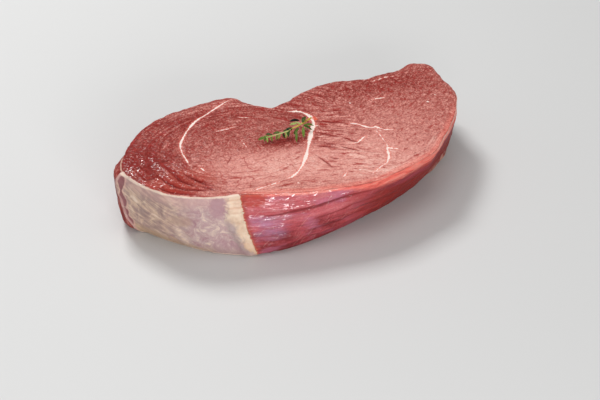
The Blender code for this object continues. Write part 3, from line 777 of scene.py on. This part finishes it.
def muscleWallColour(kit):
    # level fibres, painted violet sheen, fine slanting scratches, a groove darkened with painted
    # shade, painted shade towards the foot and on the undercut right, orange upper edge
    x, y, z, depth, look = kit.x, kit.y, kit.z, kit.depth, beefLook
    fibres, broad = grain("fibres"), grain("broad")
    value = around(fibres, look["wallFibres"], around(
        broad, look["wallBroad"], around(kit.fine, look["wallGrain"], look["wallTone"])))
    # painted shade: darker with depth below the rim, and darker still on the undercut right part
    # of the wall
    value = scaled(depth, look["wallShadeByDepth"], plus(value, look["wallLift"]))
    value = plus(value, times(band(depth, 3, 9), band(x, 5, 45, 0, look["farWallShade"])))
    slantPlace = plane(scaled(x, 0.05, times(z, 0.035)), scaled(z, 0.5, times(x, -0.22)))
    value = around(grain("slantFibres", slantPlace), band(x, 6, 40, 0, look["slantFibres"]), value)
    wall = ramp(value, (0.08, "wallDark"), (0.92, "wallPink"), (0.46, "wallRed"))
    tilted = add("Mapping", {"Vector": bench.p, "Rotation": (0, 0.85, 0)})
    # the orange band gets deeper towards the right, with a violet line under it
    under = calc("DIVIDE", frayed(depth, 1.6), band(x, -12, 34, 2.2, 8.5))
    wall = tinted(
        # painted violet and bluish sheen on the muscle
        wall, ("sheen", band(grain("sheen"), 0.46, 0.64), band(x, 44, -6)),
        ("bluishSheen", band(around(broad, 2, within("bluishSheen", x, z)), 1.25, 0.2),
         kit.frontOnly, band(fibres, 0.3, 0.62, 0.1 / 0.6, 1)),
        ("scratches", band(grain("scratches", tilted.outputs[0]), 0.62, 0.7),
         band(y, -10, -40, 0.06 / 0.26, 1)),
        # painted shade along the groove
        ("groove", band(around(fibres, 0.8, kit.groove), 0.25, 0.75)),
        # darker red on the right of the wall: partly the meat's own red, partly painted shade;
        # wallShade below is painted shade as well
        ("wallRightRedAndShade", band(x, -10, 18)),
        ("wallShade", band(x, -14, 22), band(depth, 6, 12)),
        ("violetLine", band(under, 0.75, 1), band(under, 1.45, 1.15), band(x, 12, 40)))
    rimStreaks = grain("rimStreaks", plane(times(x, 0.07), times(depth, 0.42)))
    rimTone = ramp(rimStreaks, (0.3, "rimDark"), (0.7, "rimLight"), (0.46, "orange"))
    wall = mix(times(band(under, 1, 0.35), 0.8), wall, rimTone)
    return tinted(
        wall, ("corner", kit.corner), ("footShade", band(z, 11, 1), band(x, -66, -40)),
        ("scraps", band(around(kit.broken, 22, z), 9, 4), band(x, 66, 84)),
        ("paleRim", band(frayed(depth, 1), 2, 0.8), band(x, 58, 80)))


def silverskinColour(kit):
    # slanting cream and grey streaks at the left, lilac cloud at the right, bruises at the lip
    x, z, veil, streaks = kit.x, kit.z, kit.veil, kit.streaks
    # the streaks get darker towards the foot: a painted shade
    level = around(kit.broken, 1, band(z, 16, 2, 0.47, 0.37))
    streakTone = ramp(around(streaks, 1.1, level), (0.26, "skinGrey"),
                      (0.74, "skinLight"), (0.42, "skinMiddle"), (0.58, "skinCream"))
    veilTone = ramp(veil, (0.32, "skinLilac"), (0.7, "skinLight"), (0.54, "skinVeil"))
    whorl = calc("ABSOLUTE", minus(grain("whorls"), 0.5))
    veilTone = tinted(veilTone, ("whorls", band(whorl, 0.03, 0.004)))
    footFat = plus(around(streaks, 16, z), times(kit.slant, 0.1))
    return tinted(
        mix(kit.leftward, veilTone, streakTone),
        ("upperSkin", band(frayed(kit.depth, 6), 10, 3)),
        ("lowRight", band(around(veil, 30, z), 15, 5), band(x, -86, -76)),
        ("violetPatch", band(frayed(within("violetPatch", x, z), 0.5), 1.1, 0.7)),
        ("tanPatch", band(frayed(within("tanPatch", x, z), 0.6), 1.15, 0.7)),
        ("yellowFoot", band(footFat, 2.5, -2.5), band(x, -72, -84)),
        # painted shade at the foot of the silverskin
        ("skinFootShade", band(z, 9, 0)),
        ("bruiseRim", band(kit.bruise, -1.3, -0.5), band(kit.bruise, 0.3, -0.2)),
        ("bruise", band(frayed(kit.bruise, 1), 0, 0.5)),
        ("ridge", band(calc("ABSOLUTE", plus(kit.lip, 0.6)), 1.6, 0.7)))


def fatStripColour(kit):
    # cloudy cream, cooler at its left edge and darker in its wrinkles with painted shade
    z = kit.z
    tone = ramp(kit.stripCloud, (0.24, "stripShade"), (0.7, "stripLight"), (0.44, "stripCream"))
    return tinted(
        tone, ("stripFoot", band(z, 17, 3)), ("stripTop", band(z, 27, 33)),
        ("stripCool", band(around(kit.broken, 14, kit.stripFromLeft), 5.5, 1.5), band(z, 27, 21)),
        ("stripWrinkleShade", band(kit.wrinkle, 0.2, 0.8)))


def rawBeef(mesh):
    kit = beefKit(mesh)
    look = beefLook
    meat = cutFaceColour(kit)
    wall = muscleWallColour(kit)

    # ragged right edge of the fat strip, with a dark fringe and an orange glow on the muscle
    leftEdge = band(around(kit.veil, 11, kit.stripFromLeft), -1.8, 1.8)
    rightGap = around(grain("teeth"), 3.6, kit.stripFromRight)
    onStrip = times(leftEdge, band(rightGap, -0.18, 0.18))
    wall = tinted(wall, ("fringe", band(rightGap, -4.2, -0.5), leftEdge),
                  ("stripGlow", band(rightGap, -1.1, -0.2), leftEdge))
    lipTone = ramp(around(kit.lipStripes, 1.9, 0.5), (0.1, "wallDark"),
                   (0.9, "lipPale"), (0.5, "lipRed"))
    onSkin = band(frayed(kit.skin, 1.2), -0.35, 0.35)
    outside = mix(onSkin, mix(kit.onLip, wall, lipTone), silverskinColour(kit))
    outside = mix(onStrip, outside, fatStripColour(kit))
    colour = mix(kit.onCut, outside, meat)

    # cream line where the silverskin and the strip meet the cut face, wider at the blunt end
    cutEdge = kit.cutEdge
    lineWide = scaled(band(kit.x, -92, -108), -0.7, -0.65)
    colour = tinted(
        colour, ("rimLine", band(minus(cutEdge, lineWide), -0.5, 0.4),
                 band(cutEdge, 0.75, 0.25), calc("MAXIMUM", band(kit.skin, -0.5, 0.8), onStrip)),
        ("lipLine", band(cutEdge, -0.75, -0.3), band(cutEdge, 0.4, 0.05),
         band(kit.lip, 0, 0.6), band(kit.y, 24, 16)))

    # relief finer than the mesh: coarse enough to be seen, without a rough haze
    pebble = grain("pebble")
    runs = blend(kit.rightLobe, grain("fibreRuns", kit.ringRun), grain("fibreRuns", kit.nearRun))
    height = scaled(runs, kit.fibre, times(pebble, 0.9))
    height = scaled(kit.deepLines, -0.12, height)
    wallHeight = scaled(grain("levelRuns"), 1.7, times(pebble, 0.3))
    wallHeight = mix(kit.onLip, wallHeight, times(kit.lipStripes, 0.9))
    skinHeight = scaled(kit.streaks, times(kit.leftward, 0.5), times(pebble, 0.35))
    stripHeight = scaled(kit.stripCloud, 0.5, times(pebble, 0.5))
    outHeight = mix(onStrip, mix(onSkin, wallHeight, skinHeight), stripHeight)
    normal = bump(mix(kit.onCut, outHeight, times(height, 0.65)), look["relief"])

    # wet film, smoother than the meat under it, so that it breaks into glints
    wet = times(kit.wet, minus(1, times(kit.corner, 0.85)))
    droplets = grain("droplets", kit.nearRun)
    wallFilm = scaled(grain("ripples"), 1.2, times(droplets, 0.5))
    coatNormal = bump(mix(kit.onCut, wallFilm, droplets), look["filmRelief"])
    patchy = times(band(grain("filmPatches"), 0.44, 0.56, 0.1, 1),
                   band(grain("glints", kit.nearRun), 0.56, 0.59))
    litGroove = times(band(within("litGroove", kit.x, kit.z), 1.1, 0.7), kit.frontOnly)
    wallPatchy = calc("MAXIMUM", band(grain("wallFilm"), 0.45, 0.54, 0.1, 1), litGroove)
    film = calc("MULTIPLY_ADD", wet, mix(kit.onCut, wallPatchy, patchy), look["dryFilm"],
                clamp=True)
    return finishMaterial(
        Base_Color=colour, Roughness=band(kit.mottle, 0.3, 0.7, *look["rough"]),
        Normal=normal, IOR=look["density"], Specular_IOR_Level=look["shine"],
        Subsurface_Weight=look["seeThrough"], Subsurface_Radius=look["seeThroughColour"],
        Subsurface_Scale=look["seeThroughDepth"], Coat_Weight=film,
        Coat_Roughness=band(wet, 0, 0.3, *look["filmRough"]),
        Coat_IOR=band(kit.onCut, 0, 1, *look["filmDensity"]), Coat_Normal=coatNormal)


slicePiece = buildSlice()
slicePiece.data.materials.clear()
slicePiece.data.materials.append(rawBeef(slicePiece.data))
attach(slicePiece, "root")
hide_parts("knuckle_slice")
print("slice ready:", len(slicePiece.data.polygons), "faces")


# the sprig of thyme on the cut face

thymeForm = {
    # from the cut end to the tip: x, y, height above the meat; the radius tapers evenly
    "stem": [(12.6, 14.9, 2.1), (9.4, 12.6, 2.6), (6.1, 9.9, 3), (2.5, 7.9, 3.4),
             (-1.3, 6.2, 3.8), (-4.5, 4.9, 4.2), (-7.5, 3.3, 4.3), (-10, 2.6, 4.2),
             (-13, 2, 4.1), (-15.9, 1.4, 3.9), (-19.1, 1.1, 3.6), (-21.7, 1.1, 3.3),
             (-24, 1.2, 2.9)],
    "stemRadius": (0.52, 0.28),
    # root x, y, height above the meat; tip x, y, height; width; how dark, partly the leaf's own
    # green and partly painted light and painted shade
    "leaves": [
        (3.6, 12.1, 3.4, -2.5, 13.6, 3.6, 1.5, 1), (3.5, 8.2, 3.6, 7.2, 14, 4.2, 1.7, 0.62),
        (4.3, 8.5, 3.8, 8.2, 13.4, 4.9, 1.6, 0.52), (3.3, 6, 3.6, 10.7, 6.6, 1.9, 1.4, 0.4),
        (3, 5.6, 3.4, 7.7, 3.2, 1.5, 1.5, 0.58), (2.2, 4.6, 3.6, -1, -3, 1.2, 1.9, 0.3),
        (-3.1, 3, 3.6, -7.4, -6.4, 1.2, 1.6, 0.4), (-0.8, 4, 3.8, -5.3, 2, 1.7, 1.8, 0.5),
        (0, 8.3, 4.2, -4, 10.6, 3.2, 1.5, 0.06), (1.3, 6.8, 4.3, -0.2, 10.2, 4.7, 1.1, 0),
        (2, 6, 4.4, 0.8, 7.6, 4.8, 1.1, 0.03), (-4.9, 4.2, 4.6, -8.8, 6.6, 3.4, 1.5, 0.7),
        (-5.5, 3.3, 4.5, -11, 5.3, 2.8, 1.5, 0.95), (-7, 2.9, 4.5, -10.6, 1.4, 2.8, 1.9, 0.55),
        (-12.4, 2.2, 4.3, -12.4, -0.6, 1.7, 1.3, 0.8), (-10, 2.4, 4.3, -11.5, -0.6, 1.6, 1.1, 0.1),
        (-8.2, 2.6, 4.3, -10, -0.4, 1.9, 1.4, 0.7), (-13.7, 2.4, 4.3, -17.3, 5.5, 2.9, 1.6, 0.45),
        (-13.9, 2, 4.1, -16.4, -0.2, 1.4, 1.1, 0.15), (-13, 1.9, 4.5, -14.8, 3, 4.8, 1, 0),
        (-19.1, 1.6, 3.9, -22, 5.8, 2.9, 1.7, 0.62), (-23.4, 1.2, 3.2, -28.4, 2.6, 1.5, 1.9, 0.38),
        (-23.2, 1.1, 3.2, -24, -1.6, 1.1, 1.1, 0.1), (-20.6, 1, 3.5, -20.9, -1.2, 1.3, 1.1, 0.3),
        (-24, 1.1, 3.1, -25.6, -0.4, 1.2, 1.1, 0.5), (-8.6, 2.8, 4.6, -11, 4.6, 4.2, 1, 0.6),
        (-16.2, 1.5, 4, -18, -0.8, 1.7, 1.1, 0.35), (-22.2, 1.2, 3.5, -24.2, 3.4, 3.2, 1.2, 0.2),
    ],
    "stemSides": 12, "stemSteps": 5, "knuckle": 0.25, "knuckleReach": 0.7,
    "leafThick": 0.26, "clear": 0.35, "fold": 0.26, "curl": 0.05, "bow": 0.09,
    "edgeDrop": 0.35, "ribDepth": 0.12, "ribReach": 0.14, "cellsLong": 14, "cellsWide": 8,
    "roll": 0.55, "faces": (-0.438, -0.899),  # leaves roll towards this side
}
thymeColours = {
    "pale": (0.44, 0.5, 0.2), "light": (0.22, 0.3, 0.055), "middle": (0.1, 0.165, 0.014),
    "dark": (0.026, 0.05, 0.006), "black": (0.003, 0.005, 0.003), "rib": (0.34, 0.42, 0.12),
    "margin": (0.42, 0.5, 0.16), "stemCut": (0.58, 0.42, 0.05), "stemOld": (0.56, 0.46, 0.1),
    "stemYoung": (0.5, 0.5, 0.22), "stemTip": (0.34, 0.42, 0.12),
}


def buildThyme(ground):
    form = thymeForm
    whole = bmesh.new()
    dark, lengthwise, sideways = (whole.verts.layers.float.new(name)
                                  for name in ("dark", "lengthwise", "sideways"))

    def groundZ(x, y):
        hit = ground.ray_cast(Vector((x * mm, y * mm, 0.1)), Vector((0, 0, -1)))[0]
        return hit.z / mm

    def onMeat(x, y, lift):
        return np.array([x, y, groundZ(x, y) + lift])

    # stem: rings round the line, swollen a little where leaves leave it
    centre = curveThrough([onMeat(*place) for place in form["stem"]], form["stemSteps"])
    nodes = [onMeat(*leaf[:3]) for leaf in form["leaves"]]
    sides, rings = form["stemSides"], []
    for index, place in enumerate(centre):
        ahead = centre[min(index + 1, len(centre) - 1)] - centre[max(index - 1, 0)]
        run = Vector(ahead).normalized()
        flat = run.cross(Vector((0, 0, 1))).normalized()
        upright = flat.cross(run)
        share = index / (len(centre) - 1)
        radius = form["stemRadius"][0] * (1 - share) + form["stemRadius"][1] * share
        gap = min(np.linalg.norm(place[:2] - node[:2]) for node in nodes)
        radius *= 1 + form["knuckle"] * math.exp(-(gap / form["knuckleReach"])**2)
        ring = []
        for side in range(sides):
            turn = 2 * math.pi * side / sides
            out = flat * math.cos(turn) + upright * math.sin(turn)
            vert = whole.verts.new((Vector(place) + out * radius) * mm)
            vert[lengthwise], vert[dark] = share, -1
            ring.append(vert)
        rings.append(ring)
    for first, second in zip(rings[:-1], rings[1:]):
        for side in range(sides):
            after = (side + 1) % sides
            whole.faces.new((first[side], first[after], second[after], second[side]))
    whole.faces.new(rings[0][::-1])
    whole.faces.new(rings[-1])

    # leaves: folded along the midrib, tips turned down, both faces closed
    longCells, wideCells = form["cellsLong"], form["cellsWide"]
    for leaf in form["leaves"]:
        root, tip = onMeat(*leaf[:3]), onMeat(*leaf[3:6])
        width, shade = leaf[6:]
        run = tip - root
        aside = np.array([-run[1], run[0]]) / math.hypot(run[0], run[1])
        sheets = []
        for lift in (0.5, -0.5):
            rows = []
            for i in range(longCells + 1):
                u = i / longCells
                half = 0.5 * width * max(0.16, math.sin(math.pi * (0.03 + 0.95 * u))**0.8)
                half *= ease(1.03, 0.86, u) * 0.85 + 0.15
                row = []
                for j in range(wideCells + 1):
                    w = 2 * j / wideCells - 1
                    px, py = root[:2] + u * run[:2] + w * half * aside
                    bow = math.sin(math.pi * u) * form["bow"] * np.linalg.norm(run)
                    pz = root[2] + u * run[2] + bow + form["fold"] * abs(w) * half
                    pz -= form["curl"] * np.linalg.norm(run) * u**3
                    pz -= form["edgeDrop"] * half * w**6
                    pz -= form["roll"] * w * half * float(aside @ np.array(form["faces"]))
                    thick = form["leafThick"] * (1 - 0.7 * abs(w)**4) * (1 - 0.6 * u**6)
                    pz = max(pz, groundZ(px, py) + form["clear"])
                    rib = form["ribDepth"] * math.exp(-(w / form["ribReach"])**2)
                    pz += lift * (thick - rib)
                    vert = whole.verts.new(Vector((px, py, pz)) * mm)
                    vert[dark], vert[lengthwise], vert[sideways] = shade, u, w
                    row.append(vert)
                rows.append(row)
            sheets.append(rows)
        top, under = sheets
        for i in range(longCells):
            for j in range(wideCells):
                quad = ((i, j), (i + 1, j), (i + 1, j + 1), (i, j + 1))
                whole.faces.new([top[a][b] for a, b in quad])
                whole.faces.new([under[a][b] for a, b in quad[::-1]])
        border = [(i, 0) for i in range(longCells)] + [(longCells, j) for j in range(wideCells)]
        border += [(i, wideCells) for i in range(longCells, 0, -1)]
        border += [(0, j) for j in range(wideCells, 0, -1)]
        for (a, b), (d, e) in zip(border, border[1:] + border[:1]):
            whole.faces.new((top[a][b], under[a][b], under[d][e], top[d][e]))
    bmesh.ops.recalc_face_normals(whole, faces=whole.faces)
    mesh = bpy.data.meshes.new("thymeSprig")
    whole.to_mesh(mesh)
    whole.free()
    mesh.shade_smooth()
    points = np.clip(readVectors(mesh, "co") / mm, np.array(cadLow) / mm,
                     np.array(cadHigh) / mm - sliceForm["inset"])
    mesh.vertices.foreach_set("co", (points * mm).ravel())
    return newObject("thymeSprig", mesh)


def thymeGreen():
    # leaves from pale to nearly black, partly their own greens and partly painted light and
    # painted shade, each with a paler midrib and margin, and a woody stem
    p, c = startMaterial("thymeGreen", thymeColours), thymeColours
    dark, lengthwise = painted("dark"), painted("lengthwise")
    sideways = calc("ABSOLUTE", painted("sideways"))
    speckle = cloud(p, 2.2, 4, 0.6)
    # how dark each leaf is: partly its own green, partly painted light and painted shade
    shade = around(speckle, 0.7, plus(dark, 0.05))
    leaf = ramp(shade, (0, "pale"), (1, "black"), (0.18, "light"), (0.35, "middle"),
                (0.65, "dark"))
    notDark = band(dark, 0.95, 0.6)
    rib = times(band(sideways, 0.2, 0), notDark)
    leaf = mix(times(rib, 0.3), leaf, c["rib"])
    margin = times(band(sideways, 0.72, 1), notDark)
    leaf = mix(times(margin, 0.45), leaf, c["margin"])
    stem = ramp(lengthwise, (0, "stemCut"), (1, "stemTip"), (0.45, "stemOld"), (0.62, "stemYoung"))
    colour = mix(band(dark, -0.4, -0.6), leaf, stem)
    normal = bump(speckle, 0.00025, 0.7)
    return finishMaterial(Base_Color=colour, Roughness=0.45, Normal=normal,
                          Specular_IOR_Level=0.12, Subsurface_Weight=0.05,
                          Subsurface_Radius=(0.4, 0.8, 0.15), Subsurface_Scale=0.0005)


groundTree = BVHTree.FromObject(slicePiece, bpy.context.evaluated_depsgraph_get())
thymePiece = buildThyme(groundTree)
thymePiece.data.materials.append(thymeGreen())
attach(thymePiece, "root")
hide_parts("thyme_sprig")
print("thyme ready:", len(thymePiece.data.polygons), "faces")


# floor, light and camera

studio = {
    "floorTone": (0.62, 0.62, 0.615), "floorHalf": 3, "floorDrop": 0.0003, "floorRough": 0.6,
    "worldTone": (1, 1, 1), "worldPower": 0.28,
    # place, target, width, height, power
    "lights": {
        "back": ((-0.1, 1.02, 1.2), (0, 0, 0), 0.48, 0.48, 17),
        "overhead": ((-0.1, -0.1, 1.5), (0, 0, 0), 0.9, 0.9, 4.5),
        "front": ((-0.3, -1.15, 0.34), (0, 0, 0.02), 0.7, 0.3, 9.4),
    },
    "cameraPlace": (-0.391238, -0.797941, 0.557937),
    "cameraTarget": (-0.007, -0.0102, 0),
    "lens": 103.55, "sensor": 36,
}


def aim(item, place, target):
    item.location = place
    item.rotation_euler = (Vector(target) - Vector(place)).to_track_quat("-Z", "Y").to_euler()


def buildStudio():
    floorMesh = bpy.data.meshes.new("floor")
    sheet = bmesh.new()
    bmesh.ops.create_grid(sheet, x_segments=2, y_segments=2, size=studio["floorHalf"])
    sheet.to_mesh(floorMesh)
    sheet.free()
    floor = newObject("floor", floorMesh)
    floor.location.z = -studio["floorDrop"]
    startMaterial("paleFloor")
    floor.data.materials.append(finishMaterial(
        Base_Color=(*studio["floorTone"], 1), Roughness=studio["floorRough"]))

    for name, (place, target, width, height, power) in studio["lights"].items():
        lamp = bpy.data.lights.new(name, "AREA")
        lamp.shape, lamp.size, lamp.size_y, lamp.energy = "RECTANGLE", width, height, power
        aim(newObject(name, lamp), place, target)

    world = bpy.data.worlds.new("studio")
    world.use_nodes = True
    backdrop = world.node_tree.nodes["Background"]
    backdrop.inputs["Color"].default_value = (*studio["worldTone"], 1)
    backdrop.inputs["Strength"].default_value = studio["worldPower"]
    bpy.context.scene.world = world

    camera = newObject("camera", bpy.data.cameras.new("camera"))
    camera.data.lens = studio["lens"]
    camera.data.sensor_width = studio["sensor"]
    camera.data.sensor_fit = "HORIZONTAL"
    aim(camera, studio["cameraPlace"], studio["cameraTarget"])
    bpy.context.scene.camera = camera
    bpy.context.scene.view_settings.view_transform = "Standard"


buildStudio()
print("studio ready")
